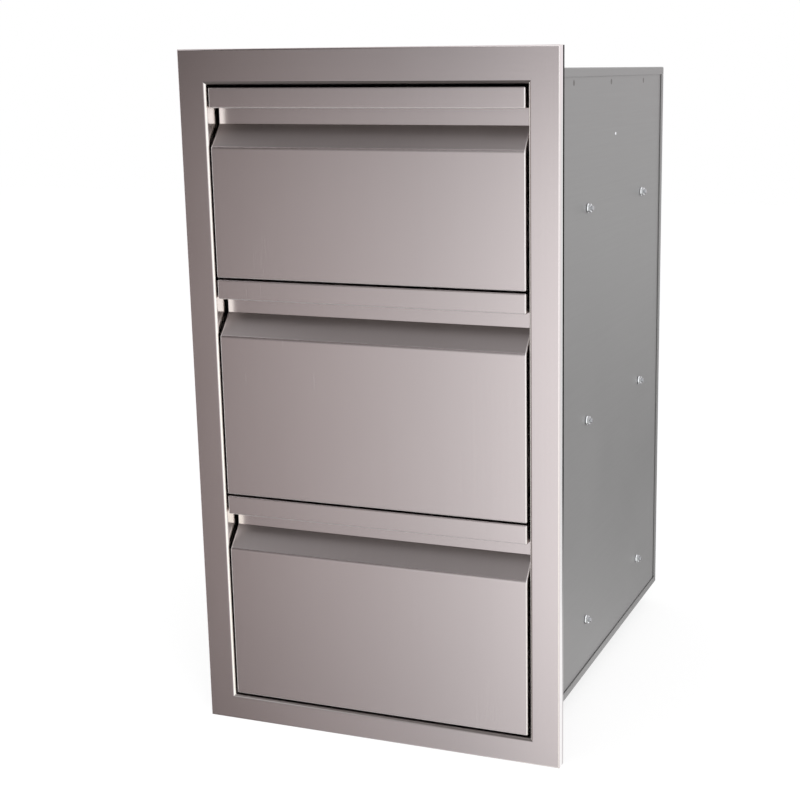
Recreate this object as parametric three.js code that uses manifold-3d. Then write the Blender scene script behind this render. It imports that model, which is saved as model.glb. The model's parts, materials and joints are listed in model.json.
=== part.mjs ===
import * as THREE from 'three';
import { mergeVertices } from 'three/addons/utils/BufferGeometryUtils.js';
import Module from 'manifold-3d';

const wasm = await Module();
wasm.setup();

// Built-in outdoor kitchen unit: three drawers one above another, flush in one stainless trim frame.
// Millimetres. X runs across the unit, +Y runs back into the island and +Z is up.
// The origin lies in the wall's plane, on the sill of the cut-out, midway between the sides.
// Inside the unit, lengths are counted back from the face of the frame and up from its lower edge.

// Clearance between sheets that lie against each other
const seatGap = 0.3;
// Overrun of a cut past the sheet that it goes through
const overrun = 1;
const weldDistance = 0.001;

// Trim frame: one sheet folded back along all its edges, with mitred corners
const frameWidth = 386;
const frameSheet = 1.2;
const frameRimFold = 1.8;
const frameJambFold = 3;
const rimDepth = 12.5;
const jambDepth = 22;
const stileWidth = 30;
const topRailHeight = 33.5;
const bottomRailHeight = 27;

// Cabinet: five folded panels behind the frame
const cabinetSheet = 1;
const cabinetFold = 1.5;
const cabinetRise = 13.5;
const frameFlange = 12;
const lapFlange = 8.5;
const backFlange = 10;
const rearClearance = 65;

// Drawer fronts: a lip, a finger recess and a flat face, folded from one sheet
const topFrontHeight = 183;
const middleFrontHeight = 219;
const bottomFrontHeight = 214.5;
const reveal = 2.5;
const drawerGap = 2;
const frontSheet = 1;
const frontFold = 1.5;
const lipHeight = 19.3;
const recessDepth = 18;
const recessWallHeight = 15.5;
const recessSlopeHeight = 22;
const slopeFold = 5;
const linerSheet = 0.8;
const linerFold = 1.2;
const linerFlange = 9;

// Drawer trays: welded pans with rolled rims
const traySheet = 1;
const trayFold = 1.5;
const trayOverhang = 15;
const trayRise = 12;
const trayDrop = 45;
const rimRoll = 3.4;
const rimTurn = 4;

// Telescopic ball slides: three nested rails and two ball cages on either side of a drawer
const slideLength = 400;
const slideThickness = 12.7;
const slideHeight = 45;
const slideSheet = 1.2;
const slideFold = 1.2;
const slideSetback = 2;
const slideRise = 60;
const lowestSlideRise = 56;
const centreRailSetback = 3;
const ballRadius = 2;
const ballClearance = 0.3;
const cageSheet = 0.6;
const cageLength = 160;
const cageMargin = 8;
const cageLedge = 1.7;
const outerRaceSetback = 5.6;
const innerRaceSetback = 9.6;
// Bearings round a ball's centre, in degrees, between which each rail's race runs
const outerRaceBearings = [5, 150];
const centreDipBearings = [-60, -110];
const centreRiseBearings = [50, 120];
const innerRaceBearings = [-145, -70];
const stopLength = 2;
const stopHeight = 10;
const railHoleRadius = 2.3;

// Studs in the outer rails and the nuts that hold them outside the cabinet
const frontFixingSetback = 156;
const rearFixingInset = 30;
const studRadius = 2.4;
const studStandout = 2.4;
const boreClearance = 0.3;
const nutHeight = 3.6;
const nutFlangeHeight = 1;
const nutRadius = 4.6;
const nutFlangeRadius = 5.6;

// Counts
const foldSteps = 4;
const slideFoldSteps = 2;
const raceSteps = 4;
const ballsPerRow = 4;
const ballSegments = 6;
const ballRings = 3;
const studSegments = 8;
const holeSegments = 8;
const nutSides = 6;
const nutFlangeSides = 12;

// Shares of the slide's length at which the drawer rail is drilled for its screws
const railHoleShares = [0.09, 0.41, 0.89];
const rackHoleShares = [0.09, 0.62];

// Places that follow from the sizes
const openingHalf = frameWidth / 2 - stileWidth;
const bottomEdge = bottomRailHeight + reveal;
const middleEdge = bottomEdge + bottomFrontHeight + drawerGap;
const topEdge = middleEdge + middleFrontHeight + drawerGap;
const openingTop = topEdge + topFrontHeight + reveal;
const panelFront = frameSheet + seatGap;
const panelInside = openingHalf + frameSheet + seatGap;
const panelOutside = panelInside + cabinetSheet;
const lapOutside = panelOutside + seatGap + cabinetSheet;
const sillHeight = bottomRailHeight - frameSheet - seatGap - cabinetSheet;
const cabinetTop = openingTop + cabinetRise;
const frontHalf = openingHalf - reveal;
const frontDepth = recessDepth + frontSheet + seatGap + linerSheet + seatGap;
const trayFront = frontDepth + seatGap;
const slideFront = jambDepth + slideSetback;
const slideBack = slideFront + slideLength;
const trayBack = slideBack + trayOverhang;
const backInside = slideBack + rearClearance;
const cabinetDepth = backInside + cabinetSheet;
const slideWallFace = panelInside - seatGap;
const trayHalf = slideWallFace - slideThickness - seatGap;

// The drawers from the bottom up, each with its front's lower edge, height and slide height
const drawers = [
  { name: 'bottom', edge: bottomEdge, height: bottomFrontHeight, rise: lowestSlideRise },
  { name: 'middle', edge: middleEdge, height: middleFrontHeight, rise: slideRise },
  { name: 'top', edge: topEdge, height: topFrontHeight, rise: slideRise },
];
const sides = [
  { name: 'left', sign: -1 },
  { name: 'right', sign: 1 },
];
const fixings = [
  { name: 'front', setback: frontFixingSetback },
  { name: 'rear', setback: slideLength - rearFixingInset },
];

// Finishes
const brushed = { color: 0xd6cdcf, roughness: 0.34, metalness: 1 };
const satin = { color: 0xb9b2b4, roughness: 0.4, metalness: 1 };
const galvanised = { color: 0x999796, roughness: 0.5, metalness: 0.85 };
const zincPlated = { color: 0xc4c8cc, roughness: 0.28, metalness: 1 };
const cageSteel = { color: 0x8f9298, roughness: 0.4, metalness: 1 };
const brightZinc = { color: 0xe4e6ea, roughness: 0.2, metalness: 1 };

function piece(name, geometry, finish) {
  const mesh = new THREE.Mesh(geometry, new THREE.MeshStandardMaterial(finish));
  mesh.name = name;
  return mesh;
}

// Solids and surfaces

function solidOf(geometry) {
  const bare = geometry.clone();
  bare.deleteAttribute('normal');
  bare.deleteAttribute('uv');
  const merged = mergeVertices(bare, weldDistance);
  return new wasm.Manifold(new wasm.Mesh({
    numProp: 3,
    vertProperties: merged.attributes.position.array,
    triVerts: new Uint32Array(merged.index.array),
  }));
}

function surfaceOf(solid) {
  const { vertProperties, triVerts } = solid.getMesh();
  const geometry = new THREE.BufferGeometry();
  geometry.setAttribute('position', new THREE.BufferAttribute(vertProperties, 3));
  geometry.setIndex(new THREE.BufferAttribute(triVerts, 1));
  const faceted = geometry.toNonIndexed();
  faceted.computeVertexNormals();
  return faceted;
}

function join(...geometries) {
  return surfaceOf(geometries.map(solidOf).reduce((whole, part) => whole.add(part)));
}

function cut(geometry, tools) {
  return surfaceOf(tools.map(solidOf).reduce((whole, tool) => whole.subtract(tool), solidOf(geometry)));
}

// Sheet metal outlines

// A line moved sideways by a distance, to the left of its own direction.
function offsetLine(line, distance) {
  return line.map((point, i) => {
    const next = line[Math.min(i + 1, line.length - 1)];
    const last = line[Math.max(i - 1, 0)];
    const leaving = i < line.length - 1 ? next.clone().sub(point) : point.clone().sub(last);
    const arriving = i > 0 ? point.clone().sub(last) : leaving.clone();
    leaving.normalize();
    const along = arriving.normalize().add(leaving).normalize();
    const across = new THREE.Vector2(-along.y, along.x);
    return point.clone().addScaledVector(across, distance / along.dot(leaving));
  });
}

// The cross-section of a sheet that follows a centreline.
function sheetOutline(centreline, sheet) {
  return [
    ...offsetLine(centreline, sheet / 2),
    ...offsetLine(centreline, -sheet / 2).reverse(),
  ];
}

// A line through corners, each rounded to the radius of the fold, or to its own third value.
function foldedLine(corners, radius, steps = foldSteps) {
  const points = corners.map(([across, up]) => new THREE.Vector2(across, up));
  const line = [points[0]];
  for (let i = 1; i < points.length - 1; i++) {
    const [, , round = radius] = corners[i];
    const arriving = points[i].clone().sub(points[i - 1]).normalize();
    const leaving = points[i + 1].clone().sub(points[i]).normalize();
    const turn = Math.acos(arriving.dot(leaving));
    const side = Math.sign(arriving.cross(leaving));
    const start = points[i].clone().addScaledVector(arriving, -round * Math.tan(turn / 2));
    const inward = new THREE.Vector2(-arriving.y, arriving.x).multiplyScalar(side * round);
    const centre = start.clone().add(inward);
    for (let step = 0; step <= steps; step++) {
      line.push(start.clone().rotateAround(centre, (side * turn * step) / steps));
    }
  }
  line.push(points[points.length - 1]);
  return line;
}

// Points on a circle round a ball's centre, from one bearing to another, in degrees.
function raceArc(setback, height, [from, to]) {
  return Array.from({ length: raceSteps + 1 }, (_, step) => {
    const bearing = THREE.MathUtils.degToRad(from + ((to - from) * step) / raceSteps);
    const spoke = new THREE.Vector2(raceRadius, 0).rotateAround(slideMiddle, bearing);
    return spoke.add(new THREE.Vector2(setback, height));
  });
}

// Which way an outline's first axis, second axis and depth run in the unit.
const unitX = new THREE.Vector3(1, 0, 0);
const unitY = new THREE.Vector3(0, 1, 0);
const unitZ = new THREE.Vector3(0, 0, 1);
const directions = {
  x: { turn: new THREE.Matrix4().makeBasis(unitY, unitZ, unitX), unit: unitX },
  y: { turn: new THREE.Matrix4().makeBasis(unitX, unitZ, unitY.clone().negate()), unit: unitY },
  z: { turn: new THREE.Matrix4(), unit: unitZ },
};

// An outline carried along x, y or z from one place to another.
function extrude(outline, axis, from, to) {
  const { turn, unit } = directions[axis];
  const shape = new THREE.Shape(outline);
  const geometry = new THREE.ExtrudeGeometry(shape, { depth: to - from, bevelEnabled: false });
  geometry.applyMatrix4(turn);
  const start = unit.clone().multiplyScalar(axis === 'y' ? to : from);
  return geometry.translate(start.x, start.y, start.z);
}

function foldedSheet(corners, radius, sheet, axis, from, to) {
  return extrude(sheetOutline(foldedLine(corners, radius - sheet / 2), sheet), axis, from, to);
}

// A flat plate between two opposite corners.
function plate(low, high) {
  const size = high.map((value, i) => value - low[i]);
  const middle = high.map((value, i) => (value + low[i]) / 2);
  return new THREE.BoxGeometry(...size).translate(...middle);
}

// A round bar along X, centred at a place across from the slide's front.
function barAlongX(radius, segments, from, to, y, z) {
  const bar = new THREE.CylinderGeometry(radius, radius, to - from, segments);
  return bar.rotateZ(Math.PI / 2).translate((from + to) / 2, y, z);
}

// Trim frame

// The frame's section is carried round the opening: every point of it keeps its share of the
// way from the opening to the outer edge, so the corners come out mitred.
function trimFrame() {
  const bearings = Array.from({ length: foldSteps + 1 }, (_, i) => (Math.PI / 2) * (i / foldSteps));
  const rimRadius = frameRimFold - frameSheet;
  const jambRadius = frameJambFold - frameSheet;
  const rimOutside = bearings.map((b) => ({
    share: 1,
    out: -frameRimFold + frameRimFold * Math.cos(b),
    back: frameRimFold - frameRimFold * Math.sin(b),
  }));
  const jambOutside = bearings.map((b) => ({
    share: 0,
    out: frameJambFold - frameJambFold * Math.sin(b),
    back: frameJambFold - frameJambFold * Math.cos(b),
  }));
  const jambInside = bearings.map((b) => ({
    share: 0,
    out: frameJambFold - jambRadius * Math.cos(b),
    back: frameJambFold - jambRadius * Math.sin(b),
  }));
  const rimInside = bearings.map((b) => ({
    share: 1,
    out: -frameRimFold + rimRadius * Math.sin(b),
    back: frameRimFold - rimRadius * Math.cos(b),
  }));
  const section = [
    { share: 1, out: 0, back: rimDepth },
    ...rimOutside,
    ...jambOutside,
    { share: 0, out: 0, back: jambDepth },
    { share: 0, out: frameSheet, back: jambDepth },
    ...jambInside,
    ...rimInside,
    { share: 1, out: -frameSheet, back: rimDepth },
  ];
  const positions = section.flatMap(({ share, out, back }) => {
    const x = openingHalf + share * stileWidth + out;
    const top = openingTop + share * topRailHeight + out;
    const bottom = bottomRailHeight - share * bottomRailHeight - out;
    return [-x, back, bottom, x, back, bottom, x, back, top, -x, back, top];
  });
  const index = [];
  for (let i = 0; i < section.length; i++) {
    for (let corner = 0; corner < 4; corner++) {
      const a = i * 4 + corner;
      const b = i * 4 + ((corner + 1) % 4);
      const c = ((i + 1) % section.length) * 4 + ((corner + 1) % 4);
      const d = ((i + 1) % section.length) * 4 + corner;
      index.push(a, b, c, a, c, d);
    }
  }
  const geometry = new THREE.BufferGeometry();
  geometry.setAttribute('position', new THREE.Float32BufferAttribute(positions, 3));
  geometry.setIndex(index);
  return surfaceOf(solidOf(geometry));
}

// Cabinet panels

// A side panel: its front edge turns outwards behind the frame's face, and studs pass through it.
function sidePanel(sign) {
  const middle = panelInside + cabinetSheet / 2;
  const corners = [
    [sign * (middle + frameFlange), panelFront + cabinetSheet / 2],
    [sign * middle, panelFront + cabinetSheet / 2],
    [sign * middle, backInside - seatGap],
  ];
  const low = sillHeight + cabinetSheet + seatGap;
  const high = cabinetTop - cabinetSheet - seatGap;
  const panel = foldedSheet(corners, cabinetFold, cabinetSheet, 'z', low, high);
  const from = sign * middle - cabinetSheet - overrun;
  const to = sign * middle + cabinetSheet + overrun;
  const holes = drawers.flatMap(({ edge, rise }) => fixings.map(({ setback }) => (
    barAlongX(studRadius + boreClearance, studSegments, from, to, slideFront + setback, edge + rise)
  )));
  return cut(panel, holes);
}

// The top or bottom panel: its side edges lap over the side panels, its front edge turns up or
// down behind the frame's face. Way is 1 for the top panel and -1 for the bottom panel.
function endPanel(face, way) {
  const middle = face - (way * cabinetSheet) / 2;
  const reach = lapOutside - cabinetSheet / 2;
  const skirt = face - way * lapFlange;
  const lapped = [[-reach, skirt], [-reach, middle], [reach, middle], [reach, skirt]];
  const lapFront = panelFront + cabinetSheet + seatGap;
  const body = foldedSheet(lapped, cabinetFold, cabinetSheet, 'y', lapFront, backInside - seatGap);
  const turned = [
    [lapFront + lapFlange, middle],
    [panelFront + cabinetSheet / 2, middle],
    [panelFront + cabinetSheet / 2, face + way * frameFlange],
  ];
  const flange = foldedSheet(turned, cabinetFold, cabinetSheet, 'x', -panelInside, panelInside);
  return join(body, flange);
}

// The back panel: a plate over the whole rear, with edges that lap over the side panels.
function backPanel() {
  const reach = lapOutside - cabinetSheet / 2;
  const middle = cabinetDepth - cabinetSheet / 2;
  const tip = cabinetDepth - backFlange;
  const lapped = [[-reach, tip], [-reach, middle], [reach, middle], [reach, tip]];
  const low = sillHeight + lapFlange + seatGap;
  const high = cabinetTop - lapFlange - seatGap;
  const body = foldedSheet(lapped, cabinetFold, cabinetSheet, 'z', low, high);
  const whole = plate([-panelOutside, backInside, sillHeight], [panelOutside, cabinetDepth, cabinetTop]);
  return join(body, whole);
}

// Drawer front, liner and tray, counted from the front's lower edge

// The centreline of the front's sheet, from the back of its top return down to its bottom return.
function frontLine(height) {
  const half = frontSheet / 2;
  const lipBottom = height - lipHeight;
  const wallBottom = lipBottom - recessWallHeight;
  return foldedLine([
    [frontDepth, height - half],
    [half, height - half],
    [half, lipBottom + half],
    [recessDepth + half, lipBottom + half],
    [recessDepth + half, wallBottom],
    [half, wallBottom - recessSlopeHeight, slopeFold - half],
    [half, half],
    [frontDepth, half],
  ], frontFold - half);
}

// The front's folded sheet with its closed ends: its outside less the hollow that opens at the back.
function drawerFront(height) {
  const line = frontLine(height);
  const outside = offsetLine(line, -frontSheet / 2);
  const inside = offsetLine(line, frontSheet / 2);
  inside[0].x += overrun;
  inside[inside.length - 1].x += overrun;
  const reach = frontHalf - frontSheet;
  return cut(extrude(outside, 'x', -frontHalf, frontHalf), [extrude(inside, 'x', -reach, reach)]);
}

// The liner closes the back of the front, with flanges tucked inside the folded edges.
function frontLiner(height) {
  const half = linerSheet / 2;
  const middle = frontDepth - seatGap - half;
  const inset = frontSheet + seatGap + half;
  const tip = middle - linerFlange;
  const corners = [[tip, inset], [middle, inset], [middle, height - inset], [tip, height - inset]];
  const reach = frontHalf - frontSheet - seatGap;
  return foldedSheet(corners, linerFold, linerSheet, 'x', -reach, reach);
}

// The tray: a channel with rolled rims, closed by a plate at either end.
function tray(height) {
  const half = traySheet / 2;
  const wall = trayHalf - half;
  const floor = trayRise + half;
  const rim = height - trayDrop - half;
  const roll = wall + rimRoll;
  const turn = rim - rimTurn;
  const section = [
    [-roll, turn], [-roll, rim], [-wall, rim], [-wall, floor],
    [wall, floor], [wall, rim], [roll, rim], [roll, turn],
  ];
  const channel = foldedSheet(section, trayFold, traySheet, 'y', trayFront, trayBack);
  const frontWall = plate(
    [-trayHalf + half, trayFront, trayRise + half],
    [trayHalf - half, trayFront + traySheet, turn],
  );
  const backSection = [
    [trayBack - half, trayRise + traySheet], [trayBack - half, rim],
    [trayBack - half - rimRoll, rim], [trayBack - half - rimRoll, turn],
  ];
  const backWall = foldedSheet(backSection, trayFold, traySheet, 'x', -wall, wall);
  return join(channel, frontWall, backWall);
}

// Ball slide, counted from the face that lies on the cabinet wall and from its middle height

const raceRadius = ballRadius + ballClearance + slideSheet / 2;
const outerRaceHeight = slideHeight / 2 - slideSheet / 2 - raceRadius;
const innerRaceHeight = outerRaceHeight - 2 * raceRadius;
const centreWeb = slideSheet + ballClearance + cageSheet + ballClearance + slideSheet / 2;
const slideMiddle = new THREE.Vector2();

// The lower half of a rail's or cage's section is the upper half turned over.
function wholeSection(upperHalf) {
  const lowerHalf = upperHalf.map(({ x, y }) => new THREE.Vector2(x, slideMiddle.y - y));
  return [...upperHalf, ...lowerHalf.reverse()];
}

// A corner between the web and a race, rounded to the slide's fold.
function webCorner(web, height, raceStart) {
  const fold = Math.min(slideFold, Math.abs(raceStart - web) / 2);
  const corners = [[raceStart, height], [web, height], [web, slideMiddle.y]];
  return foldedLine(corners, fold, slideFoldSteps).slice(1, -1);
}

// The outer rail wraps each outer ball from above and ends in a curled edge.
function outerRail(sheet) {
  const race = raceArc(outerRaceSetback, outerRaceHeight, outerRaceBearings);
  const start = race[race.length - 1];
  const section = wholeSection([...race, ...webCorner(sheet / 2, start.y, start.x)]);
  return extrude(sheetOutline(section, sheet), 'y', 0, slideLength);
}

// The centre rail waves under the outer balls and over the inner balls.
function centreRail(sheet) {
  const dip = raceArc(outerRaceSetback, outerRaceHeight, centreDipBearings);
  const rise = raceArc(innerRaceSetback, innerRaceHeight, centreRiseBearings);
  const start = dip[dip.length - 1];
  const section = wholeSection([...rise, ...dip, ...webCorner(centreWeb, start.y, start.x)]);
  const from = centreRailSetback;
  return extrude(sheetOutline(section, sheet), 'y', from, slideLength - from);
}

// The inner rail carries the drawer and cups each inner ball from below.
function innerRail(sheet) {
  const race = raceArc(innerRaceSetback, innerRaceHeight, innerRaceBearings);
  const start = race[race.length - 1];
  const web = slideThickness - sheet / 2;
  const section = wholeSection([...race, ...webCorner(web, start.y, start.x)]);
  const rail = extrude(sheetOutline(section, sheet), 'y', 0, slideLength);
  const holes = railHoleShares.map((share) => (
    barAlongX(railHoleRadius, holeSegments, web - sheet, web + sheet, share * slideLength, 0)
  ));
  return cut(rail, holes);
}

// The outer rail with its rear stop, its spare holes and the studs pressed into its web.
function cabinetRail() {
  const far = slideLength - stopLength;
  const stop = plate(
    [slideSheet / 2, far, -stopHeight / 2],
    [centreWeb, slideLength, stopHeight / 2],
  );
  const studTip = panelOutside - slideWallFace + nutHeight + studStandout;
  const studs = fixings.map(({ setback }) => (
    barAlongX(studRadius, studSegments, -studTip, slideSheet / 2, setback, 0)
  ));
  const holes = rackHoleShares.map((share) => (
    barAlongX(railHoleRadius, holeSegments, -slideSheet, 2 * slideSheet, share * slideLength, 0)
  ));
  return join(cut(outerRail(slideSheet), holes), stop, ...studs);
}

// A ball cage: a thin channel whose two ledges hold a row of balls each.
function ballCage(web, setback, height) {
  const half = cageSheet / 2;
  const ledge = setback + cageLedge;
  const corners = [[ledge, height], [web, height], [web, -height], [ledge, -height]];
  const fold = slideFold - cageSheet / 2;
  const section = sheetOutline(foldedLine(corners, fold, slideFoldSteps), cageSheet);
  const channel = extrude(section, 'y', 0, cageLength);
  const window = plate(
    [web - cageSheet, cageMargin, -height / 2],
    [web + cageSheet, cageLength - cageMargin, height / 2],
  );
  const pitch = (cageLength - 2 * cageMargin) / (ballsPerRow - 1);
  const balls = [];
  for (let i = 0; i < ballsPerRow; i++) {
    for (const row of [height, -height]) {
      const ball = new THREE.SphereGeometry(ballRadius, ballSegments, ballRings);
      balls.push(ball.rotateX(Math.PI / 2).translate(setback, cageMargin + i * pitch, row));
    }
  }
  return join(cut(channel, [window]), ...balls);
}

function outerCage() {
  return ballCage(slideSheet + ballClearance + cageSheet / 2, outerRaceSetback, outerRaceHeight);
}

function innerCage() {
  const web = centreWeb + slideSheet / 2 + ballClearance + cageSheet / 2;
  return ballCage(web, innerRaceSetback, innerRaceHeight);
}

// A hexagon nut with a washer flange, bored for the stud. It lies along X, flange first.
function nut() {
  const hexagon = new THREE.CylinderGeometry(nutRadius, nutRadius, nutHeight, nutSides);
  const flange = new THREE.CylinderGeometry(nutRadius, nutFlangeRadius, nutFlangeHeight, nutFlangeSides);
  const bore = new THREE.CylinderGeometry(
    studRadius + boreClearance, studRadius + boreClearance, nutHeight + 2 * overrun, studSegments,
  );
  hexagon.translate(0, nutHeight / 2, 0);
  flange.translate(0, nutFlangeHeight / 2, 0);
  bore.translate(0, nutHeight / 2, 0);
  return cut(join(hexagon, flange), [bore]).rotateZ(Math.PI / 2);
}

// Assembly

const rails = {
  outer: cabinetRail(),
  centre: centreRail(slideSheet),
  inner: innerRail(slideSheet),
  outerCage: outerCage(),
  innerCage: innerCage(),
  nut: nut(),
};
// A drawer travels as far as its slide is long. Fully out, each pair of rails still overlaps by half
// of that, and the cage between them, which moves half as far as they do, lies midway along it.
const overlapLeft = slideLength / 2;
const cageStart = slideLength / 4 + (overlapLeft - cageLength) / 2;

// A slide stands on the left wall. The right one is the same slide turned over about its length.
function ballSlide(level, side) {
  const slide = new THREE.Group();
  const prefix = `${level}_${side.name}_`;
  slide.add(piece(`${prefix}slide_outer_rail`, rails.outer, zincPlated));
  slide.add(piece(`${prefix}slide_centre_rail`, rails.centre, zincPlated));
  slide.add(piece(`${prefix}slide_inner_rail`, rails.inner, zincPlated));
  const cages = [
    piece(`${prefix}outer_ball_cage`, rails.outerCage, cageSteel),
    piece(`${prefix}inner_ball_cage`, rails.innerCage, cageSteel),
  ];
  for (const cage of cages) {
    cage.position.y = cageStart;
    slide.add(cage);
  }
  for (const { name, setback } of fixings) {
    const fastener = piece(`${prefix}${name}_nut`, rails.nut, brightZinc);
    fastener.position.set(slideWallFace - panelOutside - seatGap, setback, 0);
    slide.add(fastener);
  }
  slide.position.x = side.sign * slideWallFace;
  slide.rotation.y = side.sign > 0 ? Math.PI : 0;
  return slide;
}

function cabinet() {
  const box = new THREE.Group();
  box.add(piece('trim_frame', trimFrame(), brushed));
  for (const { name, sign } of sides) {
    box.add(piece(`${name}_side_panel`, sidePanel(sign), galvanised));
  }
  box.add(piece('top_panel', endPanel(cabinetTop, 1), galvanised));
  box.add(piece('bottom_panel', endPanel(sillHeight, -1), galvanised));
  box.add(piece('back_panel', backPanel(), galvanised));
  return box;
}

function drawer({ name, edge, height, rise }) {
  const assembly = new THREE.Group();
  assembly.position.z = edge;
  assembly.add(piece(`${name}_drawer_front`, drawerFront(height), brushed));
  assembly.add(piece(`${name}_front_liner`, frontLiner(height), satin));
  assembly.add(piece(`${name}_tray`, tray(height), satin));
  for (const side of sides) {
    const slide = ballSlide(name, side);
    slide.position.y = slideFront;
    slide.position.z = rise;
    assembly.add(slide);
  }
  return assembly;
}

const unit = new THREE.Group();
unit.add(cabinet());
for (const entry of drawers) {
  unit.add(drawer(entry));
}
unit.position.set(0, -rimDepth, -sillHeight);

export default unit;
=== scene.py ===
import json
import math

import bmesh
import bpy
import numpy as np
from mathutils import Matrix, Vector

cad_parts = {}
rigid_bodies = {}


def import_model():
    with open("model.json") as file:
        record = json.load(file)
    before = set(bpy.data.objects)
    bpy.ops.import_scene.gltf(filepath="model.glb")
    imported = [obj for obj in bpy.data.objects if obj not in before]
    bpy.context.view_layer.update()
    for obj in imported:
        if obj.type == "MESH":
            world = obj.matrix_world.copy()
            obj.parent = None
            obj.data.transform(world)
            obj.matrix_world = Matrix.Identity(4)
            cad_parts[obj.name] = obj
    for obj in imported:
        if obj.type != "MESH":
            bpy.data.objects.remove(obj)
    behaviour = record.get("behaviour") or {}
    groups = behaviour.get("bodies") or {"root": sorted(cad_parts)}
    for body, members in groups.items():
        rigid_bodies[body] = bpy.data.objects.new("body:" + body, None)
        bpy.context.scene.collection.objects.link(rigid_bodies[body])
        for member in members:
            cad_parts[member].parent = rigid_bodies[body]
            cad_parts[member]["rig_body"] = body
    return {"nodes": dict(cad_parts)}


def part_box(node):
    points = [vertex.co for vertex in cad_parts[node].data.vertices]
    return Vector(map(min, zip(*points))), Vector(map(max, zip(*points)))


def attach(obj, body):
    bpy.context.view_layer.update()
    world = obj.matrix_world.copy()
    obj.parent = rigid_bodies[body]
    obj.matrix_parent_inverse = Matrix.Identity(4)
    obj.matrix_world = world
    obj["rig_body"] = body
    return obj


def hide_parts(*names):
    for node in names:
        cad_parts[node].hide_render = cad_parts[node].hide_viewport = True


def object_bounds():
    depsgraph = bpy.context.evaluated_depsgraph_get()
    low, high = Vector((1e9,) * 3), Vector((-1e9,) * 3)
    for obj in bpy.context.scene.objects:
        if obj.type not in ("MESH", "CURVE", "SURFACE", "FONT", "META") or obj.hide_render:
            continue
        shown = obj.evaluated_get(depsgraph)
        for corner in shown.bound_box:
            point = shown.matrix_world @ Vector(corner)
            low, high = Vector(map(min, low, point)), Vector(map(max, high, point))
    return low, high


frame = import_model()
nodes = frame["nodes"]
cad_low, cad_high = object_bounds()

# Camera
# The photograph's view: from the right of the unit and a little above its top, with the
# picture shifted left in its frame. Place and angles were fitted to the unit's corners.

camera_place = Vector((0.5931, -1.2800, 0.6422))
camera_heading = math.radians(-19.890)
camera_tilt = math.radians(-12.613)
camera_roll = math.radians(-0.439)
camera_lens = 66.65
camera_shift = (-0.125, -0.0014)

forward = Vector((
    math.sin(camera_heading) * math.cos(camera_tilt),
    math.cos(camera_heading) * math.cos(camera_tilt),
    math.sin(camera_tilt),
))
level = Vector((math.cos(camera_heading), -math.sin(camera_heading), 0))
upright = level.cross(forward)
rightward = math.cos(camera_roll) * level + math.sin(camera_roll) * upright
upward = math.cos(camera_roll) * upright - math.sin(camera_roll) * level
camera_data = bpy.data.cameras.new("camera")
camera_data.sensor_width = 36
camera_data.lens = camera_lens
camera_data.shift_x, camera_data.shift_y = camera_shift
camera = bpy.data.objects.new("camera", camera_data)
bpy.context.scene.collection.objects.link(camera)
axes = Matrix((rightward, upward, -forward)).transposed()
camera.matrix_world = Matrix.Translation(camera_place) @ axes.to_4x4()
bpy.context.scene.camera = camera
bpy.context.scene.view_settings.view_transform = "Standard"

# Studio
# A pale floor under the unit, a white room round it and two soft lamps. Cards that only the metal
# shows stand round the unit: dark at its front left, bright at its right and dim above it.


def wire(tree, kind, inputs=None, **settings):
    """A shader node with its settings. Each input takes another node's output or a value."""
    node = tree.nodes.new(kind)
    for name, value in settings.items():
        setattr(node, name, value)
    for name, value in (inputs or {}).items():
        if isinstance(value, bpy.types.NodeSocket):
            tree.links.new(value, node.inputs[name])
        else:
            node.inputs[name].default_value = value
    return node


def seen_or_mirrored(tree):
    """1 for a ray from the camera, off metal or through glass, and 0 for a ray that only lights."""
    path = wire(tree, "ShaderNodeLightPath")
    mirrored = wire(tree, "ShaderNodeMath", {
        0: path.outputs["Is Glossy Ray"],
        1: path.outputs["Is Transmission Ray"],
    }, operation="MAXIMUM")
    return wire(tree, "ShaderNodeMath", {
        0: mirrored.outputs[0],
        1: path.outputs["Is Camera Ray"],
    }, operation="MAXIMUM").outputs[0]


room_light = 0.72
room = bpy.data.worlds.new("room")
room.use_nodes = True
room.cycles.sampling_method = "NONE"
bpy.context.scene.world = room
room_strength = wire(room.node_tree, "ShaderNodeMapRange", {
    "Value": seen_or_mirrored(room.node_tree),
    "To Min": room_light,
    "To Max": 1.0,
})
room_back = room.node_tree.nodes["Background"]
room_back.inputs["Color"].default_value = (1, 1, 1, 1)
room.node_tree.links.new(room_strength.outputs[0], room_back.inputs["Strength"])


def studio_sheet(name, corners, finish):
    """A flat four-cornered sheet that belongs to the studio and not to the unit."""
    mesh = bpy.data.meshes.new(name)
    mesh.from_pydata(corners, [], [(0, 1, 2, 3)])
    mesh.materials.append(finish)
    sheet = bpy.data.objects.new(name, mesh)
    bpy.context.scene.collection.objects.link(sheet)
    return sheet


floor_reach = 6.0
floor_tone = 0.8
floor_glow = 0.76
floor_shade = 0.34
floor_finish = bpy.data.materials.new("pale_floor")
floor_finish.use_nodes = True
floor_tree = floor_finish.node_tree
floor_tree.nodes.clear()
floor_plain = wire(floor_tree, "ShaderNodeBsdfDiffuse", {"Color": (floor_tone,) * 3 + (1,)})
floor_faint = wire(floor_tree, "ShaderNodeBsdfDiffuse", {"Color": (floor_shade,) * 3 + (1,)})
floor_white = wire(floor_tree, "ShaderNodeEmission", {"Strength": floor_glow})
floor_shown = wire(floor_tree, "ShaderNodeAddShader", {
    0: floor_faint.outputs[0],
    1: floor_white.outputs[0],
})
floor_mix = wire(floor_tree, "ShaderNodeMixShader", {
    "Fac": seen_or_mirrored(floor_tree),
    1: floor_plain.outputs[0],
    2: floor_shown.outputs[0],
})
wire(floor_tree, "ShaderNodeOutputMaterial", {"Surface": floor_mix.outputs[0]})


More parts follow.
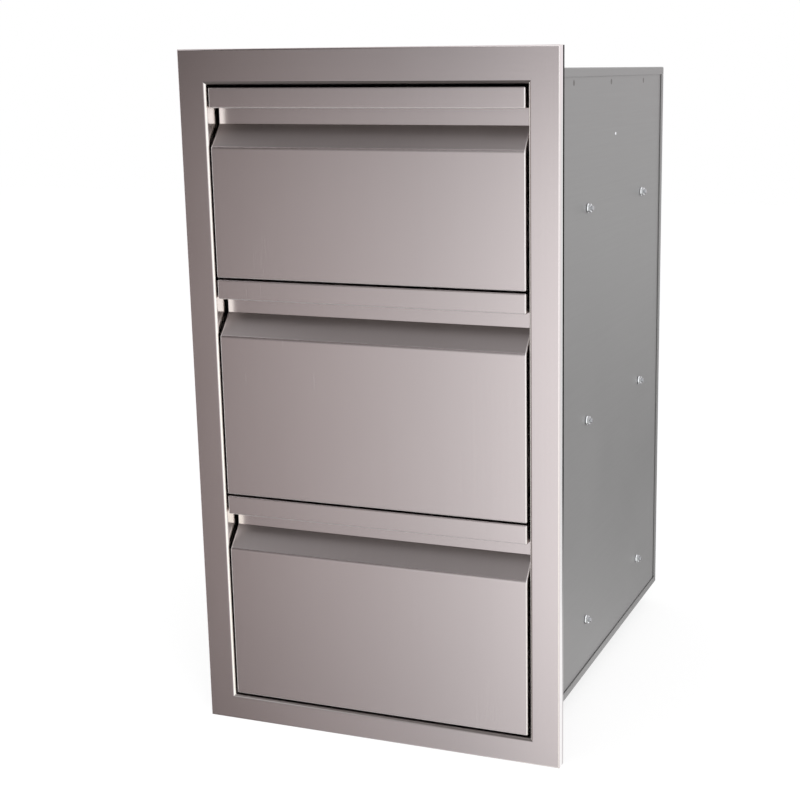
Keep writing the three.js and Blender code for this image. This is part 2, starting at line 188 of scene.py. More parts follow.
def lying(across, depths, height):
    """Corners of a level sheet between two places across, X, and two in depth, Y."""
    return [
        (across[0], depths[0], height),
        (across[1], depths[0], height),
        (across[1], depths[1], height),
        (across[0], depths[1], height),
    ]


def standing(one, other, bottom, top):
    """Corners of an upright sheet between two places on the floor, each its X and Y."""
    return [(*one, bottom), (*other, bottom), (*other, top), (*one, top)]


floor_ends = (-floor_reach, floor_reach)
floor = studio_sheet("floor", lying(floor_ends, floor_ends, cad_low.z), floor_finish)
floor.visible_glossy = False
brown_green_loss, brown_blue_loss = 0.12, 0.155


def grey(tone, warmth=0.0):
    """A tone's red, green and blue. As warmth goes from 0 to 1, neutral grey turns brownish."""
    return (tone, tone * (1 - brown_green_loss * warmth), tone * (1 - brown_blue_loss * warmth))


def card_ramp(tree, place, axis, tones):
    """Brightness along one axis of a card: each tone is a place in metres and its red, green
    and blue."""
    part = wire(tree, "ShaderNodeSeparateXYZ", {0: place}).outputs[axis]
    first, last = tones[0][0], tones[-1][0]
    share = wire(tree, "ShaderNodeMapRange", {"Value": part, "From Min": first, "From Max": last})
    ramp = wire(tree, "ShaderNodeValToRGB", {"Fac": share.outputs[0]})
    stops = ramp.color_ramp.elements
    while len(stops) < len(tones):
        stops.new(0.5)
    for stop, (metres, tone) in zip(stops, tones):
        stop.position = (metres - first) / (last - first)
        stop.color = (*tone, 1)
    return ramp.outputs[0]


def studio_card(name, corners, strength, *ramps):
    """A glowing card that neither the camera nor the floor sees, and that lights nothing: only
    metal shows it. Its colour is the product of its ramps, each an axis and its tones."""
    finish = bpy.data.materials.new(name)
    finish.use_nodes = True
    finish.cycles.emission_sampling = "NONE"
    tree = finish.node_tree
    tree.nodes.clear()
    place = wire(tree, "ShaderNodeTexCoord").outputs["Object"]
    colour = (1, 1, 1)
    for axis, tones in ramps:
        colour = wire(tree, "ShaderNodeVectorMath", {
            0: card_ramp(tree, place, axis, tones),
            1: colour,
        }, operation="MULTIPLY").outputs[0]
    glow = wire(tree, "ShaderNodeEmission", {"Color": colour, "Strength": strength})
    wire(tree, "ShaderNodeOutputMaterial", {"Surface": glow.outputs[0]})
    card = studio_sheet(name, corners, finish)
    card.visible_camera = False
    card.visible_diffuse = False
    card.visible_shadow = False
    card.visible_volume_scatter = False


card_reach = 2.6
card_strength = 1.0
low_card_height = -1.6
ceiling_height = 2.4
front_card_place = -1.5
front_card_end = 0.3
front_card_strength = 1.08
front_across = [
    (-card_reach, grey(0.13, 1)), (-1.25, grey(0.176, 1)), (-1.08, grey(0.26, 1)),
    (-0.92, grey(0.4, 0.7)), (-0.62, grey(0.54, 0.3)), (-0.5, grey(0.585)), (-0.38, grey(0.715)),
    (-0.31, grey(0.98)), (front_card_end, grey(1.0)),
]
front_up = [
    (low_card_height, grey(0.2)), (-1.1, grey(0.5)), (-0.8, grey(0.8)), (-0.4, grey(0.98)),
    (0.1, grey(1.0)), (0.4, grey(0.91)), (0.56, grey(0.74)), (0.7, grey(0.5)),
    (ceiling_height, grey(0.4)),
]
studio_card("front_card", standing(
    (-card_reach, front_card_place), (front_card_end, front_card_place),
    low_card_height, ceiling_height,
), front_card_strength, ("X", front_across), ("Z", front_up))

# Two cards hang above and two lie below, and of each two the rear one is darker. The rear one
# above shows as a thin line along the frame's top edge at its left.
ceiling_ends = (-1.5, 0.9)
ceiling_front, ceiling_split, ceiling_back = -1.5, -0.68, 0.3
ceiling_front_across = [
    (ceiling_ends[0], grey(0.14, 1)), (-1.0, grey(0.26, 0.6)), (-0.5, grey(0.48)),
    (ceiling_ends[1], grey(0.7)),
]
ceiling_back_across = [
    (ceiling_ends[0], grey(0.05, 1)), (-0.76, grey(0.07, 1)), (-0.64, grey(0.36, 0.4)),
    (-0.5, grey(0.56)), (ceiling_ends[1], grey(0.7)),
]
low_split = 0.1
low_front_across = [
    (-card_reach, grey(0.25, 1)), (-1.0, grey(0.38, 0.6)), (-0.5, grey(0.7)), (-0.2, grey(0.95)),
    (card_reach, grey(1.0)),
]
low_back_across = [(-card_reach, grey(0.07, 1)), (card_reach, grey(0.14, 1))]
for card_name, card_height, card_depths, card_across in (
    ("ceiling_front_card", ceiling_height, (ceiling_front, ceiling_split), ceiling_front_across),
    ("ceiling_back_card", ceiling_height, (ceiling_split, ceiling_back), ceiling_back_across),
    ("low_front_card", low_card_height, (-card_reach, low_split), low_front_across),
    ("low_back_card", low_card_height, (low_split, card_reach), low_back_across),
):
    card_ends = (card_across[0][0], card_across[-1][0])
    card_corners = lying(card_ends, card_depths, card_height)
    studio_card(card_name, card_corners, card_strength, ("X", card_across))

# Two bright cards stand at the right. They whiten the folds that turn that way and, mirrored
# twice, the ends of the finger recesses.
right_card_end = 1.2
right_card_strength = 1.18
right_up = [(low_card_height, grey(0.95)), (ceiling_height, grey(1.0))]
front_right_strength = 1.62
front_right_up = [
    (low_card_height, (0.95, 1.0, 0.92)), (-0.3, (0.95, 1.0, 0.92)), (0.1, (0.95, 1.0, 0.98)),
    (ceiling_height, (0.96, 1.0, 1.0)),
]
front_right_across = [
    (front_card_end, grey(1.0)), (0.7, grey(1.0)), (0.9, grey(0.62)), (1.5, grey(0.55)),
    (1.9, grey(0.6)), (card_reach, grey(0.68)),
]
studio_card("right_card", standing(
    (card_reach, front_card_place), (card_reach, right_card_end),
    low_card_height, ceiling_height,
), right_card_strength, ("Z", right_up))
studio_card("front_right_card", standing(
    (front_card_end, front_card_place), (card_reach, front_card_place),
    low_card_height, ceiling_height,
), front_right_strength, ("Z", front_right_up), ("X", front_right_across))

# The back card is a little darker in the middle of its height. A narrow card before it is what the
# frame's rim shows at the right, and a dark one beside that darkens the side panel's middle and
# leaves its foot light.
back_card_place = 2.0
back_up = [
    (low_card_height, grey(1.0)), (-0.38, grey(1.0)), (-0.28, grey(0.78)), (0.0, grey(0.8)),
    (0.25, grey(0.98)), (ceiling_height, grey(1.0)),
]
studio_card("back_card", standing(
    (card_reach, back_card_place), (0, back_card_place),
    low_card_height, ceiling_height,
), card_strength, ("Z", back_up))
card_gap = 0.02
rim_card_place = back_card_place - card_gap
rim_card_ends = (0.5, 1.14)
rim_pink = (0.85, 0.8, 0.82)
rim_up = [
    (-0.94, grey(1.0)), (-0.8, grey(1.0)), (-0.6, grey(0.95)), (-0.4, grey(0.85)),
    (0.0, grey(0.75)), (0.52, grey(0.75)), (0.6, rim_pink), (0.92, rim_pink),
]
studio_card("dark_card", standing(
    (rim_card_ends[1], rim_card_place), (rim_card_ends[0], rim_card_place),
    rim_up[0][0], rim_up[-1][0],
), card_strength, ("Z", rim_up))
shade_card_place = rim_card_place - card_gap
shade_card_ends = (0.0, 0.775)
shade_up = [(-0.64, grey(0.2)), (-0.3, grey(0.22)), (0.0, grey(0.5)), (0.3, grey(0.95))]
studio_card("shade_card", standing(
    (shade_card_ends[1], shade_card_place), (shade_card_ends[0], shade_card_place),
    shade_up[0][0], shade_up[-1][0],
), card_strength, ("Z", shade_up))


def soft_lamp(name, place, target, size, power):
    """A square soft lamp that faces a target and that metal doesn't show."""
    data = bpy.data.lights.new(name, "AREA")
    data.size = size
    data.energy = power
    lamp = bpy.data.objects.new(name, data)
    lamp.location = place
    lamp.rotation_euler = (Vector(target) - Vector(place)).to_track_quat("-Z", "Y").to_euler()
    bpy.context.scene.collection.objects.link(lamp)
    lamp.visible_glossy = False


unit_middle = (cad_low + cad_high) / 2
lamp_size = 1.4
key_place, key_power = (1.6, -1.8, 2.1), 26
fill_place, fill_power = (-1.9, -1.4, 1.5), 9
soft_lamp("key_lamp", key_place, unit_middle, lamp_size, key_power)
soft_lamp("fill_lamp", fill_place, unit_middle, lamp_size, fill_power)

# Trim frame
# The face that shows in the island's wall: one stainless sheet with folded returns, mitred and
# welded at its corners, dressed along each member with a fine belt and held by the panels.

noise_detail = 2.0
noise_mean = 0.5


def set_noise(tree, vector, scale):
    """Soft random values from 0 to 1, stretched by a scale along each axis, in waves per metre."""
    stretched = wire(tree, "ShaderNodeVectorMath", {0: vector, 1: scale}, operation="MULTIPLY")
    noise = wire(tree, "ShaderNodeTexNoise", {
        "Vector": stretched.outputs[0],
        "Scale": 1.0,
        "Detail": noise_detail,
    })
    return noise.outputs["Fac"]


def varied(tree, base, parts):
    """A value that strays from its base by each noise, less its mean, times that noise's swing."""
    total = base
    for noise, swing in parts:
        stray = wire(tree, "ShaderNodeMath", {0: noise, 1: -noise_mean}, operation="ADD")
        total = wire(tree, "ShaderNodeMath", {
            0: stray.outputs[0],
            1: swing,
            2: total,
        }, operation="MULTIPLY_ADD").outputs[0]
    return total


def tinted(tree, colour, tone):
    """The colour times the tone."""
    return wire(tree, "ShaderNodeVectorMath", {
        0: colour,
        "Scale": tone,
    }, operation="SCALE").outputs[0]


brush_lines = (7000, 22, 22)
brush_bands = (420, 2.5, 2.5)
wiped_clouds = (13, 13, 9)
brush_depth = 7e-7


def brushed_steel(name, colour, roughness, lay, depth=brush_depth):
    """Belt-brushed sheet: fine lines and faint bands along the grain, and clouds from wiping."""
    finish = bpy.data.materials.new(name)
    finish.use_nodes = True
    tree = finish.node_tree
    shader = tree.nodes["Principled BSDF"]
    shader.inputs["Metallic"].default_value = 1.0
    place = wire(tree, "ShaderNodeTexCoord").outputs["Object"]
    along = lay(tree, place)
    lines = set_noise(tree, along, brush_lines)
    bands = set_noise(tree, along, brush_bands)
    clouds = set_noise(tree, place, wiped_clouds)
    tone = varied(tree, 1.0, [(lines, 0.045), (bands, 0.04), (clouds, 0.03)])
    tree.links.new(tinted(tree, colour, tone), shader.inputs["Base Color"])
    rough = varied(tree, roughness, [(lines, 0.07), (clouds, 0.05)])
    tree.links.new(rough, shader.inputs["Roughness"])
    bump = wire(tree, "ShaderNodeBump", {"Height": lines, "Distance": depth})
    tree.links.new(bump.outputs[0], shader.inputs["Normal"])
    return finish


def upright_lay(tree, place):
    """Grain that runs up: across it lies X, or Y on faces that look sideways."""
    part = wire(tree, "ShaderNodeSeparateXYZ", {0: place})
    side = wire(tree, "ShaderNodeSeparateXYZ", {
        0: wire(tree, "ShaderNodeNewGeometry").outputs["True Normal"],
    })
    sideways = wire(tree, "ShaderNodeMath", {0: side.outputs["X"]}, operation="ABSOLUTE")
    across = wire(tree, "ShaderNodeMath", {
        0: part.outputs["Y"],
        1: sideways.outputs[0],
        2: part.outputs["X"],
    }, operation="MULTIPLY_ADD")
    return wire(tree, "ShaderNodeCombineXYZ", {
        "X": across.outputs[0],
        "Y": part.outputs["Y"],
        "Z": part.outputs["Z"],
    }).outputs[0]


frame_low, frame_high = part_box("trim_frame")
frame_middle = (frame_low + frame_high) / 2
frame_half = (frame_high - frame_low) / 2


def mitred_lay(tree, place):
    """Grain along each member: up the stiles and across the rails, parted on the mitres."""
    centred = wire(tree, "ShaderNodeVectorMath", {0: place, 1: frame_middle}, operation="SUBTRACT")
    part = wire(tree, "ShaderNodeSeparateXYZ", {0: centred.outputs[0]})
    inset = []
    for axis, half in (("X", frame_half.x), ("Z", frame_half.z)):
        size = wire(tree, "ShaderNodeMath", {0: part.outputs[axis]}, operation="ABSOLUTE")
        inset.append(wire(tree, "ShaderNodeMath", {
            0: half,
            1: size.outputs[0],
        }, operation="SUBTRACT"))
    rail = wire(tree, "ShaderNodeMath", {
        0: inset[0].outputs[0],
        1: inset[1].outputs[0],
    }, operation="GREATER_THAN").outputs[0]
    across = wire(tree, "ShaderNodeMix", {
        "Factor": rail,
        2: part.outputs["X"],
        3: part.outputs["Z"],
    })
    along = wire(tree, "ShaderNodeMix", {
        "Factor": rail,
        2: part.outputs["Z"],
        3: part.outputs["X"],
    })
    both = wire(tree, "ShaderNodeMath", {
        0: across.outputs[0],
        1: part.outputs["Y"],
    }, operation="ADD")
    return wire(tree, "ShaderNodeCombineXYZ", {
        "X": both.outputs[0],
        "Y": rail,
        "Z": along.outputs[0],
    }).outputs[0]


join_reach = 1e-6
flat_angle = math.radians(0.4)
sharp_angle = math.radians(50)


def dressed(node, finish, edge_finish, edge, steps=2, rounder=None):
    """The node's own solid, dressed: its triangles joined into flat faces, its folds shaded smooth
    and its sharp edges broken by edge in steps. Rounder gives an edge's share of the full break."""
    work = bmesh.new()
    work.from_mesh(nodes[node].data)
    bmesh.ops.remove_doubles(work, verts=work.verts, dist=join_reach)
    bmesh.ops.dissolve_limit(
        work, angle_limit=flat_angle, verts=work.verts, edges=work.edges,
        use_dissolve_boundaries=False,
    )
    weights = work.edges.layers.float.new("bevel_weight_edge")
    for rim in work.edges:
        if rim.is_manifold and rim.calc_face_angle(0) > sharp_angle:
            rim[weights] = rounder(rim.verts[0].co, rim.verts[1].co) if rounder else 1.0
    for face in work.faces:
        face.smooth = True
    mesh = bpy.data.meshes.new(node + "_dressed")
    work.to_mesh(mesh)
    work.free()
    mesh.materials.append(finish)
    mesh.materials.append(edge_finish)
    piece = bpy.data.objects.new(node + "_dressed", mesh)
    bpy.context.scene.collection.objects.link(piece)
    breaks = piece.modifiers.new("broken_edges", "BEVEL")
    breaks.limit_method = "WEIGHT"
    breaks.width = edge
    breaks.segments = steps
    breaks.material = 1
    breaks.harden_normals = False
    shading = piece.modifiers.new("flat_faces", "WEIGHTED_NORMAL")
    shading.weight = 100
    shading.keep_sharp = True
    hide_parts(node)
    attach(piece, nodes[node]["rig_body"])
    return piece


stainless_colour = (0.76, 0.685, 0.69)
worn_colour = (0.84, 0.785, 0.785)
frame_steel = brushed_steel("brushed_frame", stainless_colour, 0.21, mitred_lay)
frame_edge_steel = brushed_steel("brushed_frame_edge", worn_colour, 0.2, mitred_lay)
outer_fold = 0.001
outer_fold_steps = 3
inner_fold_share = 0.3
same_place = 1e-5


def at_frame_side(corner):
    """Whether a corner lies in the plane of the rim's left or right side."""
    return abs(abs(corner.x) - frame_half.x) < same_place


def at_frame_end(corner):
    """Whether a corner lies in the plane of the rim's top or bottom side."""
    return abs(abs(corner.z - frame_middle.z) - frame_half.z) < same_place


def frame_folds(one, other):
    """The full break round the face's outline, and a small one elsewhere."""
    in_front = max(one.y, other.y) < frame_low.y + same_place
    at_side = at_frame_side(one) and at_frame_side(other)
    at_end = at_frame_end(one) and at_frame_end(other)
    return 1.0 if in_front and (at_side or at_end) else inner_fold_share


trim = dressed(
    "trim_frame", frame_steel, frame_edge_steel, outer_fold, outer_fold_steps, frame_folds,
)


def on_rim(face):
    """Whether all of the face's corners lie on one of the rim's four outer sides."""
    corners = [trim.data.vertices[index].co for index in face.vertices]
    return all(map(at_frame_side, corners)) or all(map(at_frame_end, corners))


# The belt misses the rim's outer sides: smooth, with a painted highlight, but for a painted shadow
# along their rear edge, dark above and gone near the bottom. The folds into the opening carry
# painted
# light: dull shade on the top rail's, lighter shade on the bottom rail's, a highlight on the
# jambs'.
smooth_depth = 3e-7
shadow_width = 0.0045
shadow_ends = (0.05, 0.26)
shadow_darkest = 0.015
rim_back = 0.0
work = bmesh.new()
work.from_mesh(trim.data)
work.faces.ensure_lookup_table()
rim_faces = [work.faces[face.index] for face in trim.data.polygons if on_rim(face)]
rim_edges = list(dict.fromkeys(edge for face in rim_faces for edge in face.edges))
bmesh.ops.bisect_plane(
    work, geom=rim_faces + rim_edges, plane_co=(0, rim_back - shadow_width, 0), plane_no=(0, 1, 0),
)
work.to_mesh(trim.data)
work.free()
# The rim's outer sides get a painted highlight: a near-white colour, brighter than the face's
# steel.
rim_highlight_steel = brushed_steel("painted_highlight_rim", (0.95, 0.93, 0.93), 0.12, mitred_lay, smooth_depth)
# Painted shadow where the rim meets the cabinet side: matt, near black above and fading out
# downwards.
rim_shadow_steel = brushed_steel("painted_shadow_rim", (0.8, 0.775, 0.78), 0.8, mitred_lay)
shadow_tree = rim_shadow_steel.node_tree
shadow_shader = shadow_tree.nodes["Principled BSDF"]
shadow_shader.inputs["Metallic"].default_value = 0
shadow_shader.inputs["Specular IOR Level"].default_value = 0
shadow_tone = wire(shadow_tree, "ShaderNodeMapRange", {
    "Value": wire(shadow_tree, "ShaderNodeSeparateXYZ", {
        0: wire(shadow_tree, "ShaderNodeTexCoord").outputs["Object"],
    }).outputs["Z"],
    "From Min": shadow_ends[0],
    "From Max": shadow_ends[1],
    "To Min": 1.0,
    "To Max": shadow_darkest,
}).outputs[0]
bare_colour = shadow_shader.inputs["Base Color"].links[0].from_socket
shadow_tree.links.new(tinted(shadow_tree, bare_colour, shadow_tone), shadow_shader.inputs["Base Color"])
# Painted shade on the top rail's fold down into the opening: a dark copy of the stainless.
top_fold_shade_steel = brushed_steel("painted_shade_fold", (0.20, 0.178, 0.174), 0.46, mitred_lay)
# Painted highlight on the jambs: a bright cream copy of the stainless, standing in for reflected
# light.
jamb_highlight_steel = brushed_steel("painted_highlight_jamb", (0.95, 0.90, 0.865), 0.19, mitred_lay, smooth_depth)
# Painted shade on the bottom rail's fold up into the opening, lighter than the top rail's.
sill_shade_steel = brushed_steel("painted_shade_sill", (0.42, 0.385, 0.38), 0.3, mitred_lay)
for finish in (rim_highlight_steel, top_fold_shade_steel, jamb_highlight_steel, rim_shadow_steel, sill_shade_steel):
    trim.data.materials.append(finish)
rim_highlight_index, top_fold_shade_index, jamb_highlight_index, rim_shadow_index, sill_shade_index = 2, 3, 4, 5, 6
top_rail, bottom_rail, jamb_fold = 0.0335, 0.027, 0.003
least_stile = 0.02
least_lean = 0.1
least_jamb_lean = 0.3
opening_top = frame_high.z - top_rail
opening_bottom = frame_low.z + bottom_rail
for face in trim.data.polygons:
    # The rim's outer sides take a painted highlight, their rear band a painted shadow.
    if on_rim(face):
        # Its rear band is painted shadow.
        in_shadow = face.center.y > rim_back - shadow_width
        face.material_index = rim_shadow_index if in_shadow else rim_highlight_index
    # The top rail's fold is picked for painted shade.
    folds_down = face.normal.z < -least_lean and 0 <= face.center.z - opening_top < jamb_fold
    # The bottom rail's fold is picked for a lighter painted shade.
    folds_up = face.normal.z > least_lean and 0 <= opening_bottom - face.center.z < jamb_fold
    if (folds_down or folds_up) and face.normal.y < -least_lean:
        face.material_index = top_fold_shade_index if folds_down else sill_shade_index
    # The jambs are picked for a painted highlight.
    inward = -math.copysign(face.normal.x, face.normal.x * face.center.x)
    if inward > least_jamb_lean and abs(face.center.x) < frame_half.x - least_stile:
        face.material_index = jamb_highlight_index

# Cabinet
# The box behind the frame: five folded panels of dull mill-finish sheet, lapped and spot welded,
# never brushed, so they show the mill's soft mottling and a few rubs from handling.

mill_metallic = 0.85
mill_mottle = (260, 260, 260)
mill_streaks = (90, 6, 420)
mill_clouds = (7, 7, 7)
mottle_depth = 1.2e-5


def mill_finish(name, colour, roughness):
    """Unbrushed sheet: soft mottling from the mill, faint rolling streaks and wiped patches."""
    finish = bpy.data.materials.new(name)
    finish.use_nodes = True
    tree = finish.node_tree
    shader = tree.nodes["Principled BSDF"]
    shader.inputs["Metallic"].default_value = mill_metallic
    place = wire(tree, "ShaderNodeTexCoord").outputs["Object"]
    mottle = set_noise(tree, place, mill_mottle)
    streaks = set_noise(tree, place, mill_streaks)
    clouds = set_noise(tree, place, mill_clouds)
    tone = varied(tree, 1.0, [(mottle, 0.09), (streaks, 0.07), (clouds, 0.13)])
    tree.links.new(tinted(tree, colour, tone), shader.inputs["Base Color"])
    rough = varied(tree, roughness, [(mottle, 0.1), (clouds, 0.18)])
    tree.links.new(rough, shader.inputs["Roughness"])
    bump = wire(tree, "ShaderNodeBump", {"Height": mottle, "Distance": mottle_depth})
    tree.links.new(bump.outputs[0], shader.inputs["Normal"])
    return finish


cabinet_steel = mill_finish("mill_cabinet", (0.33, 0.324, 0.324), 0.46)
cabinet_edge_steel = mill_finish("mill_cabinet_edge", (0.36, 0.352, 0.352), 0.36)
cabinet_break = 0.00022
cabinet_panels = ("left_side_panel", "right_side_panel", "top_panel", "bottom_panel", "back_panel")
for panel_name in cabinet_panels:
    panel = dressed(panel_name, cabinet_steel, cabinet_edge_steel, cabinet_break)

# Drawer fronts
# Three brushed stainless fronts, each folded from one sheet into a lip, a finger recess and a flat
# face, with welded ends whose upright edges are rounded. Painted shade darkens the underside of the
# lip and, less, the slope below it, and a painted highlight brightens the folds that turn down.

front_steel = brushed_steel("brushed_front", stainless_colour, 0.25, upright_lay)
front_edge_steel = brushed_steel("brushed_front_edge", worn_colour, 0.24, upright_lay)
# Painted shade under the lip: a dark copy of the stainless.
under_lip_shade_steel = brushed_steel("painted_shade_under_lip", (0.19, 0.168, 0.156), 0.5, upright_lay)
# Painted highlight on the folds that turn down: a near-white copy of the stainless.
fold_highlight_steel = brushed_steel("painted_highlight_fold", (0.99, 0.95, 0.95), 0.42, upright_lay)
# Painted shade on the slope below the lip: a darker copy of the stainless.
slope_shade_steel = brushed_steel("painted_shade_slope", (0.53, 0.478, 0.48), 0.37, upright_lay)
under_lip_shade_index, fold_highlight_index, slope_shade_index = 2, 3, 4
levels = ("bottom", "middle", "top")
end_break = 0.0014
end_break_steps = 4
cut_break_share = 0.15
least_under_lip = 0.99
least_fold_down, least_fold_out = 0.3, 0.1
least_slope_up, least_slope_out = 0.6, 0.7
for level in levels:
    front_name = level + "_drawer_front"
    front_low, front_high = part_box(front_name)

    def front_breaks(one, other, end=front_high.x, back=front_high.y):
        """The full break along the ends' outline in front of the rear cut, and less elsewhere."""
        on_end = min(abs(one.x), abs(other.x)) > end - same_place
        behind = max(one.y, other.y) > back - same_place
        return 1.0 if on_end and not behind else cut_break_share

    front = dressed(
        front_name, front_steel, front_edge_steel, end_break, end_break_steps, front_breaks,
    )
    front.modifiers["broken_edges"].use_clamp_overlap = False
    for finish in (under_lip_shade_steel, fold_highlight_steel, slope_shade_steel):
        front.data.materials.append(finish)
    front_middle = (front_low + front_high) / 2
    for face in front.data.polygons:
        turned_out, turned_up = -face.normal.y, face.normal.z
        # The lip's underside takes painted shade.
        if turned_up < -least_under_lip and face.center.z > front_middle.z:
            face.material_index = under_lip_shade_index
        # Folds that turn down take a painted highlight.
        elif turned_up < -least_fold_down and turned_out > least_fold_out:
            face.material_index = fold_highlight_index
        # The slope takes painted shade.
        elif turned_up > least_slope_up and turned_out > least_slope_out:
            face.material_index = slope_shade_index

# Liners and trays
# Each front is closed behind by a thin liner, and a welded pan with rolled rims is fixed to it.
# Both are satin stainless that came off the roll unbrushed.

tray_steel = mill_finish("satin_tray", (0.60, 0.585, 0.59), 0.33)
tray_edge_steel = mill_finish("satin_tray_edge", (0.66, 0.64, 0.64), 0.28)
tray_break = 0.0002
for level in levels:
    for inner_name in (level + "_front_liner", level + "_tray"):
        dressed(inner_name, tray_steel, tray_edge_steel, tray_break)

# Slides
# Three nested rails on either side of each drawer, rolled from zinc-plated strip, with two rows
# of steel balls in a pressed cage between each pair.

slide_zinc = mill_finish("plated_rail", (0.60, 0.62, 0.645), 0.3)
slide_edge = mill_finish("plated_rail_edge", (0.72, 0.74, 0.76), 0.26)
cage_steel = mill_finish("cage_strip", (0.33, 0.34, 0.36), 0.38)
rail_break, cage_break = 0.00015, 0.0001
for level in levels:
    for side in ("left", "right"):
        prefix = level + "_" + side + "_"
        for rail in ("slide_outer_rail", "slide_centre_rail", "slide_inner_rail"):
            dressed(prefix + rail, slide_zinc, slide_edge, rail_break)
        for cage in ("outer_ball_cage", "inner_ball_cage"):
            dressed(prefix + cage, cage_steel, cage_steel, cage_break)

# Nuts
# A hexagon nut with a flange forged on it holds each of a slide's two studs outside the cabinet.
# The nuts are cold formed, tapped and bright zinc plated.

turn_steps = 72
turn = np.linspace(0, 2 * math.pi, turn_steps, endpoint=False)
unit_sides = (("left", -1), ("right", 1))
skin_crease = math.radians(32)
across_flats = 0.008
nut_flange_radius = 0.0048
nut_flange_edge = 0.0004
nut_flange_rise = 0.0013
nut_bore_radius = 0.0027
nut_break = 0.0003
corner_slope = math.tan(math.radians(30))


def set_on(foot, out, across, heights, radii):
    """Points of rings round an axis: each stands off the foot by its height along the axis, and off
    the axis by its radius, at its step's angle from the direction across."""
    out, across = np.array(out, float), np.array(across, float)
    angle = np.linspace(0, 2 * math.pi, heights.shape[1], endpoint=False)
    sideways = (radii * np.cos(angle))[..., None] * across
    third = (radii * np.sin(angle))[..., None] * np.cross(out, across)
    return np.array(foot) + heights[..., None] * out + sideways + third


def skinned(name, grids, finish, capped):
    """A mesh of closed skins, each a grid of points whose rows are rings. Neighbouring rings are
    joined by quads. The last ring joins the first or, if capped, both are filled flat."""
    faces, count = [], 0
    for grid in grids:
        index = count + np.arange(grid.shape[0] * grid.shape[1]).reshape(grid.shape[:2])
        count += index.size
        rows = index if capped else np.vstack([index, index[:1]])
        turned = np.roll(rows, -1, axis=1)
        quads = np.stack([rows[:-1], turned[:-1], turned[1:], rows[1:]], axis=-1)
        faces += quads.reshape(-1, 4).tolist()
        if capped:
            faces += [index[0, ::-1].tolist(), index[-1].tolist()]
    mesh = bpy.data.meshes.new(name)
    points = np.concatenate([grid.reshape(-1, 3) for grid in grids])
    mesh.from_pydata(points.tolist(), [], faces)
    mesh.shade_smooth()
    mesh.set_sharp_from_angle(angle=skin_crease)
    mesh.materials.append(finish)
    piece = bpy.data.objects.new(name, mesh)
    bpy.context.scene.collection.objects.link(piece)
    return piece


def flange_nut(height):
    """Rings of a nut. The body's radius is half its width over the cosine of the angle from the
    nearest flat. A cone cuts its corners at the top. The flange and the bore are turned."""
    from_flat = (turn + math.pi / 6) % (math.pi / 3) - math.pi / 6
    hexagon = across_flats / 2 / np.cos(from_flat)
    cone = height - (hexagon - across_flats / 2) * corner_slope
    profile = [
        (0, nut_bore_radius + nut_break),
        (0, nut_flange_radius - nut_break),
        (nut_break, nut_flange_radius),
        (nut_flange_edge, nut_flange_radius),
        (nut_flange_edge + nut_break / 2, nut_flange_radius - nut_break / 2),
        (nut_flange_rise, np.minimum(hexagon + nut_break / 2, nut_flange_radius - nut_break)),
        (nut_flange_rise + nut_break / 2, hexagon),
        (cone, hexagon),
        (height, across_flats / 2 - nut_break / 2),
        (height, nut_bore_radius + nut_break),
        (height - nut_break, nut_bore_radius),
        (nut_break, nut_bore_radius),
    ]
    heights = np.stack([np.broadcast_to(rise, turn.shape) for rise, radius in profile])
    radii = np.stack([np.broadcast_to(radius, turn.shape) for rise, radius in profile])
    return heights, radii


nut_zinc = mill_finish("bright_plating", (0.93, 0.94, 0.97), 0.19)
fixing_places = []
for level in levels:
    for side, sign in unit_sides:
        for fixing in ("front_nut", "rear_nut"):
            nut_name = level + "_" + side + "_" + fixing
            nut_low, nut_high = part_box(nut_name)
            nut_middle = (nut_low + nut_high) / 2
            nut_height = nut_high.x - nut_low.x
            nut_foot = (nut_middle.x - sign * nut_height / 2, nut_middle.y, nut_middle.z)
            fixing_places.append((level, side, sign, nut_name, nut_foot))
            rings = flange_nut(nut_height)
            nut = skinned(nut_name + "_formed", [
                set_on(nut_foot, (sign, 0, 0), (0, 1, 0), *rings),
            ], nut_zinc, capped=False)
            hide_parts(nut_name)
            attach(nut, nodes[nut_name]["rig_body"])

# Stud threads
# Each stud is pressed into its outer rail and threaded where it stands out of the cabinet. The
# thread is rolled, with a chamfered tip.

thread_pitch = 0.0008
thread_root = 0.00242
thread_depth = 0.0002
thread_tip = 0.0004
rows_in_pitch = 8


def stud_thread(length):
    """Rings of a thread: the radius rises and falls once in each pitch of height, less the turn's
    share of a pitch, and a cone narrows the tip."""
    rows = math.ceil(length / thread_pitch * rows_in_pitch)
    height = np.linspace(0, length, rows)[:, None] + np.zeros(turn.shape)
    phase = (height / thread_pitch - turn / (2 * math.pi)) % 1
    ridge = 1 - np.abs(2 * phase - 1)
    radius = thread_root + thread_depth * ridge
    tip_height = np.full((1, turn_steps), length + thread_tip)
    tip_radius = np.full((1, turn_steps), thread_root - thread_tip)
    return np.vstack([height, tip_height]), np.vstack([radius, tip_radius])


thread_steel = mill_finish("rolled_thread", (0.44, 0.44, 0.46), 0.24)
for level, side, sign, nut_name, nut_foot in fixing_places:
    rail_low, rail_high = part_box(level + "_" + side + "_slide_outer_rail")
    stud_tip = max(abs(rail_low.x), abs(rail_high.x))
    rings = stud_thread(stud_tip - abs(nut_foot[0]))
    thread = skinned(nut_name + "_thread", [
        set_on(nut_foot, (sign, 0, 0), (0, 1, 0), *rings),
    ], thread_steel, capped=True)
    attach(thread, nodes[nut_name]["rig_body"])

# Weld marks and rivets
# Three spot welds under the top lap of either side, and one small blind rivet lower down. A weld
# leaves a shallow pressed ring, faintly tinted by its heat.

